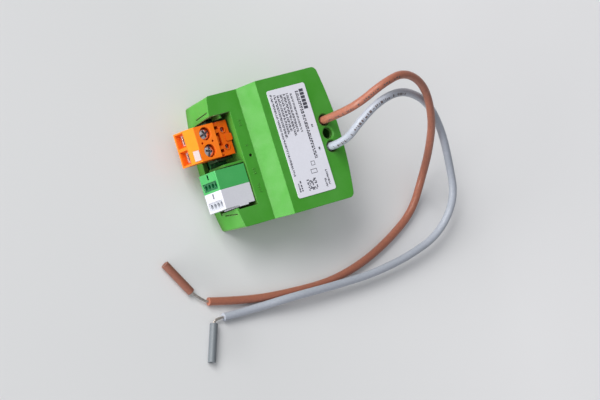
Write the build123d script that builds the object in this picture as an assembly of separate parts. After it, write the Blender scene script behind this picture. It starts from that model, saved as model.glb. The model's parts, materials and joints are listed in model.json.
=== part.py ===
"""In-wall motor controller: stepped housing, plug-on terminals, bus plug and two leads.

Millimetres. The origin is the centre of the base, +Z up, +X towards the lead holes, +Y across.
"""
from build123d import *
import math
import os

# Housing, with sizes over its widest level, the upper deck
housing_width = 40.0
housing_length = 40.0
housing_height = 19.5
lower_height = 14.0
end_bulge = 2.0
draft_angle = 3.5
wall = 1.5
roof = 1.6
far_corner_radius = 1.8
near_corner_radius = 0.8
step_setback = 12.8
step_run = 3.5
overrun = 2.0

# Recess for the two plugs, open to the near end
recess_depth = 8.65
recess_left = 13.85
recess_right = 14.2
recess_wall = 1.2
sill_height = 3.5
recess_lip = 0.45
divider_width = 0.7
divider_centre = -0.95
divider_drop = 1.0
groove_width = 0.35
groove_depth = 0.5
groove_offset = 1.4
groove_drop = 1.0
groove_foot = 5.6
cheek_width = 1.1
guide_rib_thickness = 0.6
guide_rib_reach = 1.2
guide_rib_setback = 3.2
guide_rib_drop = 0.8

# Holes in the roof
lead_hole_diameter = 3.3
lead_hole_pitch = 4.0
lead_hole_setback = 4.3
lead_hole_chamfer = 0.35
pinhole_diameter = 1.0
pinhole_setback = 1.65
pipe_boss_wall = 0.65
pipe_boss_length = 3.0

# Snap hooks and their windows
hook_width = 6.0
hook_thickness = 1.1
hook_height = 6.4
hook_nose = 1.2
hook_nose_height = 1.2
hook_place_shares = (-0.1, 0.5)
window_gap = 0.25
rib_thickness = 1.0
rib_reach = 1.5
rib_place_shares = (0.2, 0.82)

# Tray and board
tray_thickness = 1.2
tray_gap = 0.15
board_lift = 1.6
board_thickness = 1.2
board_gap = 0.4
board_clearance = 0.3
post_diameter = 3.0
post_pin_diameter = 1.4
post_pin_stand = 0.4
pinned_post_shares = ((-0.55, 0.86), (-0.55, -0.86), (0.66, 0.86), (0.66, -0.86))
plain_post_shares = ((-0.78, 0.58), (-0.78, -0.58))
notch_gap = 0.5

# Label on the upper deck
label_length = 13.65
label_width = 32.5
label_gap = 2.7
label_thickness = 0.15
label_corner_radius = 0.7

# Fits
slide_gap = 0.3
running_gap = 0.05
press_gap = 0.02
solder_gap = 0.1
pin_tail = 1.0

# Power plug, two poles
pole_pitch = 5.08
plug_centre = 6.95
plug_front_reach = 6.2
plug_height = 8.2
plug_base = 4.3
bevel_run = 2.1
bevel_drop = 2.7
mate_length = 5.2
mate_drop = 1.0
plug_wall = 0.6
funnel_width = 4.2
funnel_height = 4.5
funnel_depth = 1.6
funnel_throat_width = 3.0
funnel_throat_height = 4.0
tab_width = 2.2
tab_reach = 0.4
tab_height = 2.8
tab_length = 1.9
tab_rise = 0.3
tab_corner_radius = 0.5
test_hole_diameter = 1.5
test_rim_wall = 0.3
test_rim_height = 0.2
coding_depth = 2.2
coding_length = 1.7
coding_width = 3.9
coding_bar = 0.8
coding_setback = 1.05
coding_pocket_width = 0.9
coding_pocket_offset = 3.45
side_notch_length = 1.6
side_notch_depth = 0.5
side_notch_height = 2.6
dot_diameter = 0.7
dot_depth = 1.0
dot_spacing = 3.6
marker_length = 1.9
marker_width = 3.0
marker_thickness = 0.3
marker_rise = 0.54
marker_drift = 0.5

# Screws and clamp cages
screw_setback = 5.5
screw_head_diameter = 3.5
screw_head_height = 0.9
screw_head_drop = 0.5
screw_head_round = 0.35
screw_hole_diameter = 3.9
screw_shank_diameter = 2.4
screw_slot_width = 0.6
screw_slot_depth = 0.45
screw_cross_length = 2.2
screw_slot_angles = (20, 75)
screw_pitch = 0.5
screw_turns = 3
cage_setback = 1.8
cage_length = 6.1
cage_width = 3.6
cage_wall = 0.6
cage_gap = 0.2
bar_thickness = 0.6
bar_width = 2.2
wire_space = 2.4

# Power header and its pins
power_pin_size = 1.0
power_pin_setback = 2.1
power_pin_top = 10.4
header_floor = 2.0
header_wall = 0.6
header_wall_height = 2.6
socket_wall = 0.5

# Bus plug, a green half and a white half
half_width = 5.72
bus_length = 10.35
bus_height = 9.2
bus_base = 4.2
bus_right_gap = 1.15
bus_edge_radius = 0.25
entry_diameter = 1.45
entry_pitch = 1.9
entry_count = 4
entry_panel_depth = 0.35
entry_panel_width = 2.4
entry_panel_height = 7.6
entry_offset = -1.03
test_mouth_width = 1.5
test_mouth_height = 0.8
test_mouth_depth = 1.2
test_mouth_offset = 1.7
bus_cavity_length = 5.4
bus_cavity_width = 3.6
bus_cavity_height = 7.4
bus_cavity_setback = 3.6
dovetail_length = 3.0
dovetail_reach = 0.4
dovetail_setback = 2.3
bus_pin_diameter = 1.0
bus_pin_height = 8.8
bus_pin_reach = 6.4
bus_pin_setback = 2.45
bus_header_length = 1.95
bus_header_height = 3.6
bus_header_margin = 1.4
spring_thickness = 0.4
spring_width = 2.6
finger_length = 1.6
finger_gap = 0.5
finger_lean = 25
sleeve_wall = 0.45

# Leads
lead_diameter = 2.4
conductor_diameter = 0.8
end_sleeve_length = 11.5
end_sleeve_inset = 0.6
lead_strip_height = 0.8
solder_height = 0.8
solder_foot_diameter = 2.0
solder_top_diameter = 1.5

# Parts on the board
led_length = 1.6
led_width = 0.8
led_height = 0.7
pipe_body_diameter = 2.2
pipe_tip_drop = 0.7
leg_height = 0.4
leg_thickness = 0.2
leg_width = 0.3
leg_reach = 0.8
can_groove = 0.4
can_groove_height = 1.4
can_bung = 0.8
can_cross_depth = 0.2
can_cross_width = 0.4
brick_cap_share = 0.2
brick_waist_share = 0.95
choke_corner_share = 0.17
choke_turns_share = 0.88

# Length, width and height of each part on the board, or diameter and height
fuse_size = (4.0, 2.2, 1.8)
surge_size = (3.6, 2.8, 2.3)
small_chip_size = (3.0, 3.0, 1.1)
controller_size = (4.0, 1.0)
crystal_size = (2.0, 1.6, 0.7)
driver_size = (2.5, 2.5, 0.9)
bulk_size = (8.0, 10.0)
second_size = (6.3, 7.7)
choke_size = (5.5, 4.5)
shunt_size = (3.2, 1.8, 0.6)
transistor_size = (3.3, 3.3, 1.0)
capacitor_size = (0.8, 1.6, 0.8)
resistor_size = (1.6, 0.8, 0.45)
small_chip_legs = 4
controller_legs = 6

# Where each part stands, in shares of the board's half length and half width
fuse_place_shares = (-0.28, 0.79)
surge_place_shares = (-0.3, 0.5)
converter_place_shares = (-0.26, 0.14)
controller_place_shares = (-0.14, -0.36)
transceiver_place_shares = (-0.25, -0.76)
crystal_place_shares = (-0.42, -0.12)
driver_place_shares = (0.35, 0.11)
bulk_place_shares = (0.26, 0.51)
second_place_shares = (0.33, -0.65)
choke_place_shares = (0.345, -0.19)
shunt_place_shares = (0.76, 0.67)
transistor_place_shares = ((0.76, 0.45), (0.76, 0.17), (0.76, -0.17), (0.76, -0.45))
capacitor_place_shares = ((-0.5, 0.075), (-0.5, 0.2), (-0.5, 0.33), (-0.5, 0.46), (-0.5, 0.59))
resistor_place_shares = ((0.8, -0.67), (0.8, -0.77), (0.0, -0.05), (0.02, 0.14))

near_x = -housing_length / 2
far_x = housing_length / 2
lean_tangent = math.tan(math.radians(draft_angle))
step_foot_x = near_x + step_setback
step_tangent = (housing_height - lower_height) / step_run
step_sine = math.sin(math.atan(step_tangent))
recess_back_x = near_x + recess_depth
lead_hole_x = far_x - lead_hole_setback
pinhole_x = step_foot_x - pinhole_setback
board_bottom = tray_thickness + board_lift
board_top = board_bottom + board_thickness
pin_foot = board_bottom - pin_tail
board_half_width = housing_width / 2 - housing_height * lean_tangent - wall - board_gap
board_half_length = housing_length / 2 - end_bulge - housing_height * lean_tangent - wall - board_gap

plug_back_x = recess_back_x - slide_gap - tab_reach
plug_step_x = plug_back_x - mate_length
plug_front_x = near_x - plug_front_reach
plug_top = plug_base + plug_height
plug_width = 2 * pole_pitch
plug_poles = (plug_centre + pole_pitch / 2, plug_centre - pole_pitch / 2)
mate_top = plug_top - mate_drop
header_top = board_top + header_floor
mate_base = header_top + slide_gap
screw_x = plug_front_x + screw_setback
cage_front_x = plug_front_x + cage_setback
power_pin_x = plug_back_x - power_pin_setback
head_top = plug_top - screw_head_drop
head_base = head_top - screw_head_height
cage_travel = screw_turns * screw_pitch
cage_top = head_base - cage_travel - running_gap
bar_top = cage_top - cage_wall - cage_gap
bar_base = bar_top - bar_thickness
cage_base = bar_base - wire_space - cage_wall
cage_cavity_base = cage_base - running_gap

bus_right_y = -recess_right + bus_right_gap
bus_middle_y = bus_right_y + half_width
bus_left_y = bus_middle_y + half_width
bus_back_x = recess_back_x - slide_gap
bus_front_x = bus_back_x - bus_length
bus_top = bus_base + bus_height
bus_poles = {"green": (bus_middle_y + bus_left_y) / 2, "white": (bus_right_y + bus_middle_y) / 2}
bus_pin_x = recess_back_x + bus_pin_setback

# Each arc of a lead takes this share of its shorter run
arc_run_share = 0.45

# Routes of the leads, from the roof to where the insulation is cut
brown_route = [
    (15.7, 4.0, 19.5),
    (15.7, 4.0, 28.0),
    (17.7, 5.0, 36.2),
    (24.2, 8.4, 41.0),
    (33.5, 10.2, 40.2),
    (43.0, 5.5, 35.0),
    (49.5, -4.0, 25.5),
    (53.0, -12.5, 14.5),
    (54.5, -20.0, 4.5),
    (50.0, -28.5, 1.2),
    (40.5, -34.0, 1.2),
    (27.5, -39.2, 1.2),
    (13.5, -41.9, 1.2),
    (-1.5, -41.4, 1.2),
    (-16.0, -40.0, 1.2),
    (-29.3, -36.9, 1.2),
]
grey_route = [
    (15.7, -4.0, 19.5),
    (15.7, -4.0, 27.0),
    (16.6, -0.6, 34.2),
    (21.5, 3.4, 38.6),
    (29.5, 5.2, 38.0),
    (39.5, 4.6, 31.8),
    (49.5, 0.6, 25.5),
    (57.0, -8.0, 18.0),
    (61.0, -18.0, 11.5),
    (62.5, -29.0, 7.0),
    (54.5, -38.0, 4.2),
    (41.5, -41.6, 3.6),
    (27.0, -43.4, 3.5),
    (12.0, -43.3, 3.5),
    (-3.0, -42.8, 3.5),
    (-15.5, -42.8, 1.6),
    (-25.9, -42.5, 1.2),
]
# Bare conductor after each lead: its two bends, then the far end of its loose sleeve
brown_bends = ((-30.2, -36.7, 1.2), (-33.58, -33.44, 1.2))
brown_end = (-39.7, -23.0, 1.2)
grey_bends = ((-28.2, -42.45, 1.2), (-29.45, -42.98, 1.2))
grey_end = (-34.2, -54.0, 1.2)


def block(xs, ys, zs):
    """Box between two x, two y and two z values."""
    centre = Pos((xs[0] + xs[1]) / 2, (ys[0] + ys[1]) / 2, (zs[0] + zs[1]) / 2)
    return centre * Box(xs[1] - xs[0], ys[1] - ys[0], zs[1] - zs[0])


def post(x, y, z_low, z_high, diameter):
    """Upright round rod."""
    return Pos(x, y, (z_low + z_high) / 2) * Cylinder(diameter / 2, z_high - z_low)


def lying_rod(x_low, x_high, y, z, diameter):
    """Round rod along X."""
    turned = Rot(0, 90, 0) * Cylinder(diameter / 2, x_high - x_low)
    return Pos((x_low + x_high) / 2, y, z) * turned


def around(centre, size):
    """Lowest and highest value of a size about its centre."""
    return (centre - size / 2, centre + size / 2)


def fillet_polyline_tube(points, radii, diameter):
    """Round tube along straight runs joined by arcs."""
    path = FilletPolyline(*points, radius=radii)
    start = Plane(origin=path @ 0, z_dir=path % 0)
    return sweep(start * Circle(diameter / 2), path=path)


def arc_radii(points):
    """Radius of each corner: as large as its two runs allow."""
    radii = []
    for before, corner, after in zip(points, points[1:], points[2:]):
        run_in = Vector(corner) - Vector(before)
        run_out = Vector(after) - Vector(corner)
        half_turn = math.radians(run_in.get_angle(run_out)) / 2
        radii.append(arc_run_share * min(run_in.length, run_out.length) / math.tan(half_turn))
    return radii


def outline(z, inset):
    """Plan of the housing at one height: straight sides, bowed ends and rounded corners."""
    lean = (housing_height - z) * lean_tangent
    y = housing_width / 2 - lean - inset
    x = housing_length / 2 - end_bulge - lean - inset
    far_end = ThreePointArc((x, y), (x + end_bulge, 0), (x, -y))
    near_end = ThreePointArc((-x, -y), (-x - end_bulge, 0), (-x, y))
    face = make_face([Line((-x, y), (x, y)), far_end, Line((x, -y), (-x, -y)), near_end])
    face = fillet(face.vertices().group_by(Axis.X)[-1], far_corner_radius)
    face = fillet(face.vertices().sort_by(Axis.X)[:2], near_corner_radius)
    return Pos(0, 0, z) * face


def tapered(z_low, z_high, inset):
    """Solid with the housing's drafted sides."""
    low = outline(z_low, inset)
    high = outline(z_high, inset)
    return loft([low, high], ruled=True)


def over_lower_deck(drop):
    """Space above the lower deck and its sloping riser, moved in by the thickness of the roof."""
    low = lower_height - drop
    high = housing_height + overrun
    shift = step_foot_x + drop / step_sine
    foot = shift + (low - lower_height) / step_tangent
    head = shift + (high - lower_height) / step_tangent
    left = near_x - overrun
    profile = Polyline((left, low), (foot, low), (head, high), (left, high), close=True)
    face = Plane.XZ * make_face(profile)
    return extrude(face, amount=housing_width / 2 + overrun, both=True)


def hook_places():
    """Centre of each snap hook along X, and its side."""
    places = []
    for share in hook_place_shares:
        for side in (1, -1):
            places.append((share * board_half_length, side))
    return places


def snap_windows():
    """Windows in the long walls that the hooks' noses enter."""
    cuts = []
    low = hook_height - hook_nose_height - window_gap
    for x, side in hook_places():
        xs = around(x, hook_width + 2 * window_gap)
        y_in = side * board_half_width
        y_out = side * (housing_width / 2 + overrun)
        cuts.append(block(xs, sorted((y_in, y_out)), (low, hook_height + window_gap)))
    return cuts


def hold_down_ribs():
    """Ribs on the long walls that keep the board on its posts."""
    ribs = []
    for share in rib_place_shares:
        for side in (1, -1):
            xs = around(share * board_half_length, rib_thickness)
            y_in = side * (board_half_width - rib_reach)
            y_out = side * (board_half_width + wall)
            ribs.append(block(xs, sorted((y_in, y_out)), (board_top + slide_gap, housing_height - roof)))
    return ribs


def recess_cheek():
    """Slanted edge of the near end wall on the power plug's side, wider towards the sill."""
    corners = (
        (recess_left, lower_height),
        (recess_left, sill_height),
        (recess_left - cheek_width, sill_height),
    )
    face = Plane.YZ * make_face(Polyline(*corners, close=True))
    return Pos(near_x, 0, 0) * extrude(face, amount=wall + end_bulge / 2)


def side_grooves(outer):
    """Shallow seam lines beside the recess, on the near end wall, that lean as its cheek does."""
    skin = outer - tapered(-overrun, housing_height + overrun, groove_depth)
    reach = recess_depth / 2 + overrun
    low = groove_foot
    high = lower_height - groove_drop
    lean = cheek_width * (high - low) / (lower_height - sill_height)
    cuts = []
    for side, edge in ((1, recess_left), (-1, -recess_right)):
        line = edge + side * groove_offset
        corners = (
            (line, high),
            (line - side * lean, low),
            (line - side * (lean + groove_width), low),
            (line - side * groove_width, high),
        )
        face = Plane.YZ * make_face(Polyline(*corners, close=True))
        cuts.append(skin & (Pos(near_x - overrun, 0, 0) * extrude(face, amount=reach)))
    return cuts


def make_top_cover():
    outer = tapered(0, housing_height, 0) - over_lower_deck(0)
    inner = tapered(-overrun, housing_height - roof, wall) - over_lower_deck(roof)
    tub_zs = (board_top + board_clearance, lower_height)
    tub_ys = (-recess_right - recess_wall, recess_left + recess_wall)
    tub = block((near_x - overrun, recess_back_x + recess_wall), tub_ys, tub_zs) & outer
    boss_zs = (lower_height - roof - pipe_boss_length, lower_height - roof / 2)
    boss_diameter = pipe_body_diameter + 2 * running_gap + 2 * pipe_boss_wall
    cover = outer - inner + tub + post(pinhole_x, 0, *boss_zs, boss_diameter)
    for rib in hold_down_ribs():
        cover += rib & outer
    high = housing_height + overrun
    cover -= block((near_x - overrun, recess_back_x), (-recess_right, recess_left), (sill_height, high))
    lip_xs = (near_x - overrun, near_x + wall + end_bulge / 4)
    lip = block(lip_xs, (-recess_right, -recess_right + recess_lip), (sill_height, lower_height))
    cover += lip & outer
    cover += recess_cheek() & outer
    divider_xs = (near_x + wall + end_bulge / 4, recess_back_x)
    divider_zs = (board_top + board_clearance, lower_height - divider_drop)
    cover += block(divider_xs, around(divider_centre, divider_width), divider_zs)
    guide_xs = around(recess_back_x - guide_rib_setback, guide_rib_thickness)
    guide_zs = (header_top + header_wall_height + slide_gap, lower_height - guide_rib_drop)
    cover += block(guide_xs, (recess_left - guide_rib_reach, recess_left + recess_wall / 2), guide_zs)
    for cut in side_grooves(outer) + snap_windows():
        cover -= cut
    for row in (-1, 0, 1):
        y = row * lead_hole_pitch
        cover -= post(lead_hole_x, y, lower_height, high, lead_hole_diameter)
        rim = Pos(lead_hole_x, y, housing_height - lead_hole_chamfer / 2)
        mouth = lead_hole_diameter / 2
        cover -= rim * Cone(mouth, mouth + lead_hole_chamfer, lead_hole_chamfer)
    cover -= post(pinhole_x, 0, lower_height - roof - running_gap, high, pinhole_diameter)
    bore = pipe_body_diameter + 2 * running_gap
    cover -= post(pinhole_x, 0, boss_zs[0] - overrun, lower_height - roof, bore)
    for y in bus_poles.values():
        hole = bus_pin_diameter + 2 * slide_gap
        cover -= lying_rod(recess_back_x - overrun, recess_back_x + 2 * recess_wall, y, bus_pin_height, hole)
    return cover


def board_point(shares):
    """Place on the board, from shares of its half length and half width."""
    return shares[0] * board_half_length, shares[1] * board_half_width


def make_base_tray():
    tray = extrude(outline(0, wall + tray_gap), amount=tray_thickness)
    for shares in pinned_post_shares:
        x, y = board_point(shares)
        tray += post(x, y, tray_thickness / 2, board_bottom, post_diameter)
        tray += post(x, y, tray_thickness / 2, board_top + post_pin_stand, post_pin_diameter)
    for shares in plain_post_shares:
        x, y = board_point(shares)
        tray += post(x, y, tray_thickness / 2, board_bottom, post_diameter)
    inside = board_half_width + board_gap - tray_gap
    for x, side in hook_places():
        xs = around(x, hook_width)
        y_out = side * inside
        y_in = y_out - side * hook_thickness
        tray += block(xs, sorted((y_in, y_out)), (0, hook_height))
        low = hook_height - hook_nose_height
        nose = Polyline(
            (y_in, low),
            (y_out + side * hook_nose, low),
            (y_out, hook_height),
            (y_in, hook_height),
            close=True,
        )
        face = Plane.YZ * make_face(nose)
        tray += Pos(x, 0, 0) * extrude(face, amount=hook_width / 2, both=True)
    return tray


def make_main_board():
    board = extrude(outline(0, wall + board_gap), amount=board_thickness)
    board = Pos(0, 0, board_bottom) * board
    low = board_bottom - overrun
    high = board_top + overrun
    for x, side in hook_places():
        y_in = side * (board_half_width + board_gap - tray_gap - hook_thickness - notch_gap)
        y_out = side * (board_half_width + overrun)
        board -= block(around(x, hook_width + 2 * notch_gap), sorted((y_in, y_out)), (low, high))
    for shares in pinned_post_shares:
        x, y = board_point(shares)
        board -= post(x, y, low, high, post_pin_diameter + 2 * running_gap)
    for row in (-1, 0, 1):
        hole = conductor_diameter + 2 * solder_gap
        board -= post(lead_hole_x, row * lead_hole_pitch, low, high, hole)
    for y in plug_poles:
        board -= post(power_pin_x, y, low, high, math.sqrt(2) * power_pin_size + 2 * running_gap)
    for y in bus_poles.values():
        board -= post(bus_pin_x, y, low, high, bus_pin_diameter + 2 * running_gap)
    return board


def make_label():
    x_low = step_foot_x + step_run + label_gap
    plate = RectangleRounded(label_length, label_width, label_corner_radius)
    return extrude(Pos(x_low + label_length / 2, 0, housing_height) * plate, amount=label_thickness)


def make_light_pipe():
    body_zs = (board_top + led_height + slide_gap, lower_height - roof)
    tip_zs = (lower_height - roof, lower_height - pipe_tip_drop)
    tip = pinhole_diameter - 2 * running_gap
    return post(pinhole_x, 0, *body_zs, pipe_body_diameter) + post(pinhole_x, 0, *tip_zs, tip)


def make_status_led():
    ys = around(0, led_width)
    middle = board_top + led_height / 2
    body = block(around(pinhole_x, led_length), ys, (board_top, middle))
    return body + block(around(pinhole_x, led_length / 2), ys, (middle, board_top + led_height))


def make_power_header():
    half = plug_width / 2 + slide_gap + header_wall
    ys = (plug_centre - half, plug_centre + half)
    xs = (plug_step_x + slide_gap, recess_back_x - slide_gap)
    top = header_top + header_wall_height
    header = block(xs, ys, (board_top, header_top))
    header += block(xs, (ys[0], ys[0] + header_wall), (board_top, top))
    header += block(xs, (ys[1] - header_wall, ys[1]), (board_top, top))
    for y in plug_poles:
        bore = around(0, power_pin_size + 2 * press_gap)
        cut = block(bore, bore, (board_top - overrun, header_top + overrun))
        header -= Pos(power_pin_x, y, 0) * cut
    return header


def make_power_pins():
    pins = []
    size = around(0, power_pin_size)
    for y in plug_poles:
        pin = block(size, size, (pin_foot, power_pin_top))
        pin = chamfer(pin.edges().group_by(Axis.Z)[-1], power_pin_size / 4)
        pins.append(Pos(power_pin_x, y, 0) * pin)
    return Compound(children=pins)


def plug_profile():
    """Side view of the plug body: bevelled front, screw block and lower mating section."""
    front_top = plug_top - bevel_drop
    points = (
        (plug_front_x, plug_base),
        (plug_front_x, front_top),
        (plug_front_x + bevel_run, plug_top),
        (plug_step_x, plug_top),
        (plug_step_x, mate_top),
        (plug_back_x, mate_top),
        (plug_back_x, mate_base),
        (plug_step_x, mate_base),
        (plug_step_x, plug_base),
    )
    return Plane.XZ * make_face(Polyline(*points, close=True))


def wire_funnel(y):
    """Square mouth that narrows towards the clamp cage."""
    z = plug_base + plug_wall + funnel_height / 2
    mouth = Plane(origin=(plug_front_x, y, z), x_dir=(0, 1, 0), z_dir=(1, 0, 0))
    throat = mouth.offset(funnel_depth)
    outer = mouth * Rectangle(funnel_width, funnel_height)
    inner = throat * Rectangle(funnel_throat_width, funnel_throat_height)
    passage = extrude(inner, amount=cage_setback)
    return loft([outer, inner]) + passage


def coding_recess():
    """C-shaped recess and two pockets in the mating section's top, behind the step."""
    x = plug_step_x + coding_setback
    zs = (mate_top - coding_depth, mate_top + overrun)
    web_x = x + (coding_length - coding_bar) / 2
    bar = block(around(web_x, coding_bar), around(plug_centre, coding_width), zs)
    for side in (1, -1):
        y = plug_centre + side * (coding_width - coding_bar) / 2
        bar += block(around(x, coding_length), around(y, coding_bar), zs)
        pocket_y = plug_centre + side * coding_pocket_offset
        bar += block(around(x, coding_length), around(pocket_y, coding_pocket_width), zs)
    return bar


def make_end_tab():
    """Rounded tab at the back of the mating section, for pulling the plug off."""
    xs = (plug_back_x - tab_length, plug_back_x + tab_reach)
    zs = (mate_top - tab_height, mate_top + tab_rise)
    tab = block(xs, around(plug_centre, tab_width), zs)
    return fillet(tab.edges().filter_by(Axis.Z), tab_corner_radius)


def make_plug_body():
    body = extrude(plug_profile(), amount=plug_width / 2, both=True)
    body = Pos(0, plug_centre, 0) * body
    body += make_end_tab()
    cavity = (cage_front_x - running_gap, cage_front_x + cage_length + running_gap)
    high = plug_top + overrun
    for y in plug_poles:
        rim_diameter = test_hole_diameter + 2 * test_rim_wall
        body += post(power_pin_x, y, mate_top - test_rim_height, mate_top + test_rim_height, rim_diameter)
        body -= wire_funnel(y)
        cavity_zs = (cage_cavity_base, head_base - running_gap)
        body -= block(cavity, around(y, cage_width + 2 * running_gap), cavity_zs)
        body -= post(screw_x, y, cage_cavity_base, high, screw_hole_diameter)
        bar_xs = (screw_x, power_pin_x)
        bar_zs = (bar_base - press_gap, bar_top + press_gap)
        body -= block(bar_xs, around(y, bar_width + 2 * press_gap), bar_zs)
        socket = around(0, power_pin_size + 2 * (running_gap + socket_wall + press_gap))
        socket_zs = (mate_base - overrun, power_pin_top + running_gap)
        body -= Pos(power_pin_x, y, 0) * block(socket, socket, socket_zs)
        body -= post(power_pin_x, y, mate_base, high, test_hole_diameter)
    body -= coding_recess()
    notch_x = plug_step_x + side_notch_length / 2
    for side in (1, -1):
        y_out = plug_centre + side * (plug_width / 2 + overrun)
        y_in = plug_centre + side * (plug_width / 2 - side_notch_depth)
        zs = (mate_top - side_notch_height, high)
        body -= block(around(notch_x, side_notch_length), sorted((y_in, y_out)), zs)
        x = screw_x + side * dot_spacing / 2
        body -= post(x, plug_centre, plug_top - dot_depth, high, dot_diameter)
    return body


def bevel_plane(y):
    """Plane on the plug's bevel, with its x axis up the slope."""
    slope = Vector(bevel_run, 0, bevel_drop)
    origin = (plug_front_x + bevel_run / 2, y, plug_top - bevel_drop / 2)
    return Plane(origin=origin, x_dir=slope, z_dir=(-bevel_drop, 0, bevel_run))


def make_plug_marker():
    plane = bevel_plane(plug_poles[1] - marker_drift)
    plate = plane * Pos(marker_rise, 0, 0) * Rectangle(marker_length, marker_width)
    return extrude(plate, amount=marker_thickness)


def make_contact_bar(y):
    """Bar in the clamp cage, with the spring sleeve that grips the header pin."""
    bar_low = cage_front_x + cage_gap
    bar = block((bar_low, power_pin_x), around(y, bar_width), (bar_base, bar_top))
    size = around(0, power_pin_size + 2 * (running_gap + socket_wall))
    zs = (mate_base + slide_gap, power_pin_top)
    bar += Pos(power_pin_x, y, 0) * block(size, size, zs)
    bore = around(0, power_pin_size + 2 * running_gap)
    bar -= Pos(power_pin_x, y, 0) * block(bore, bore, (mate_base - overrun, plug_top))
    return bar


def make_terminal_screw(y, slot_angle):
    shank_low = bar_top + running_gap
    screw = post(0, 0, head_base, head_top, screw_head_diameter)
    screw = fillet(screw.edges().group_by(Axis.Z)[-1], screw_head_round)
    screw += post(0, 0, shank_low, head_base, screw_shank_diameter)
    zs = (head_top - screw_slot_depth, head_top + overrun)
    slot = block(around(0, 2 * screw_head_diameter), around(0, screw_slot_width), zs)
    cross = block(around(0, screw_slot_width), around(0, screw_cross_length), zs)
    screw -= Rot(0, 0, slot_angle) * (slot + cross)
    return Pos(screw_x, y, 0) * screw


def make_clamp_cage(y):
    xs = (cage_front_x, cage_front_x + cage_length)
    cage = block(xs, around(y, cage_width), (cage_base, cage_top))
    window_zs = (cage_base + cage_wall, cage_top - cage_wall)
    over_xs = (xs[0] - overrun, xs[1] + overrun)
    cage -= block(over_xs, around(y, cage_width - 2 * cage_wall), window_zs)
    bore = screw_shank_diameter + 2 * running_gap
    cage -= post(screw_x, y, bar_top, cage_top + overrun, bore)
    return cage


def make_bus_half(y):
    """Half of the bus plug: wire entries and test mouth in front, pin hole behind."""
    body = block((bus_front_x, bus_back_x), around(y, half_width), (bus_base, bus_top))
    front_edges = body.edges().filter_by(Axis.Y).group_by(Axis.X)[0]
    body = fillet(front_edges, bus_edge_radius)
    z_middle = (bus_base + bus_top) / 2
    entry_y = y + entry_offset
    panel_xs = (bus_front_x - overrun, bus_front_x + entry_panel_depth)
    body -= block(panel_xs, around(entry_y, entry_panel_width), around(z_middle, entry_panel_height))
    mouth_xs = (bus_front_x - overrun, bus_front_x + test_mouth_depth)
    mouth_ys = around(y + test_mouth_offset, test_mouth_width)
    body -= block(mouth_xs, mouth_ys, around(z_middle, test_mouth_height))
    cavity_low = bus_front_x + bus_cavity_setback
    cavity_xs = (cavity_low, cavity_low + bus_cavity_length)
    body -= block(cavity_xs, around(y, bus_cavity_width), around(z_middle, bus_cavity_height))
    for index in range(entry_count):
        z = z_middle + (index - (entry_count - 1) / 2) * entry_pitch
        body -= lying_rod(bus_front_x - overrun, cavity_low + overrun, entry_y, z, entry_diameter)
    hole = bus_pin_diameter + 2 * running_gap
    body -= lying_rod(cavity_xs[0], bus_back_x + overrun, y, bus_pin_height, hole)
    return body


def make_bus_white_half():
    body = make_bus_half(bus_poles["white"])
    xs = (bus_back_x - dovetail_setback - dovetail_length, bus_back_x - dovetail_setback)
    return body + block(xs, (bus_right_y - dovetail_reach, bus_right_y), (bus_base, bus_top))


def make_bus_spring(y):
    """Spring plate with a finger behind each wire entry, and the sleeve that grips the pin."""
    low = bus_front_x + bus_cavity_setback
    plate_x = low + bus_cavity_length - spring_thickness
    z_middle = (bus_base + bus_top) / 2
    height = bus_cavity_height - 2 * slide_gap
    plate_xs = (plate_x - spring_thickness, plate_x)
    spring = block(plate_xs, around(y, spring_width), around(z_middle, height))
    sleeve_diameter = bus_pin_diameter + 2 * (running_gap + sleeve_wall)
    spring += lying_rod(low + finger_length + finger_gap, plate_x, y, bus_pin_height, sleeve_diameter)
    for index in range(entry_count):
        z = z_middle + (index - (entry_count - 1) / 2) * entry_pitch
        finger = block((-finger_length, 0), around(0, spring_width / 3), around(0, spring_thickness))
        place = Pos(plate_xs[0] + spring_thickness / 2, y + entry_offset, z) * Rot(0, finger_lean, 0)
        spring += place * finger
    bore = bus_pin_diameter + 2 * running_gap
    return spring - lying_rod(low - overrun, bus_back_x + overrun, y, bus_pin_height, bore)


def make_bus_pins():
    pins = []
    for y in bus_poles.values():
        tip = (bus_back_x - bus_pin_reach, y, bus_pin_height)
        corner = (bus_pin_x, y, bus_pin_height)
        foot = (bus_pin_x, y, pin_foot)
        pins.append(fillet_polyline_tube((tip, corner, foot), bus_pin_diameter, bus_pin_diameter))
    return Compound(children=pins)


def make_bus_header():
    ys = sorted(bus_poles.values())
    ys = (ys[0] - bus_header_margin, ys[1] + bus_header_margin)
    zs = (board_top, board_top + bus_header_height)
    header = block(around(bus_pin_x, bus_header_length), ys, zs)
    for y in bus_poles.values():
        header -= post(bus_pin_x, y, board_bottom, zs[1] + overrun, bus_pin_diameter + 2 * press_gap)
    return header


def make_lead_tail(row):
    """Fixed inner end of a lead: insulation in the roof hole, bare conductor through the board."""
    y = row * lead_hole_pitch
    strip = board_top + lead_strip_height
    tail = post(lead_hole_x, y, strip, housing_height, lead_diameter)
    return tail + post(lead_hole_x, y, pin_foot, strip, conductor_diameter)


def make_solder_joints():
    joints = []
    for row in (1, -1):
        cone = Cone(solder_top_diameter / 2, solder_foot_diameter / 2, solder_height)
        cone -= Cylinder(conductor_diameter / 2 + press_gap, solder_height + overrun)
        joints.append(Pos(lead_hole_x, row * lead_hole_pitch, board_bottom - solder_height / 2) * cone)
    return Compound(children=joints)


def make_lead(route):
    return fillet_polyline_tube(route, arc_radii(route), lead_diameter)


def make_conductor(start, bends, end):
    """Bare conductor from the cut insulation, round its bends and into the loose sleeve."""
    stop = Vector(end) + (Vector(bends[-1]) - Vector(end)).normalized() * end_sleeve_inset
    return fillet_polyline_tube((start, *bends, stop), conductor_diameter, conductor_diameter)


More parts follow.
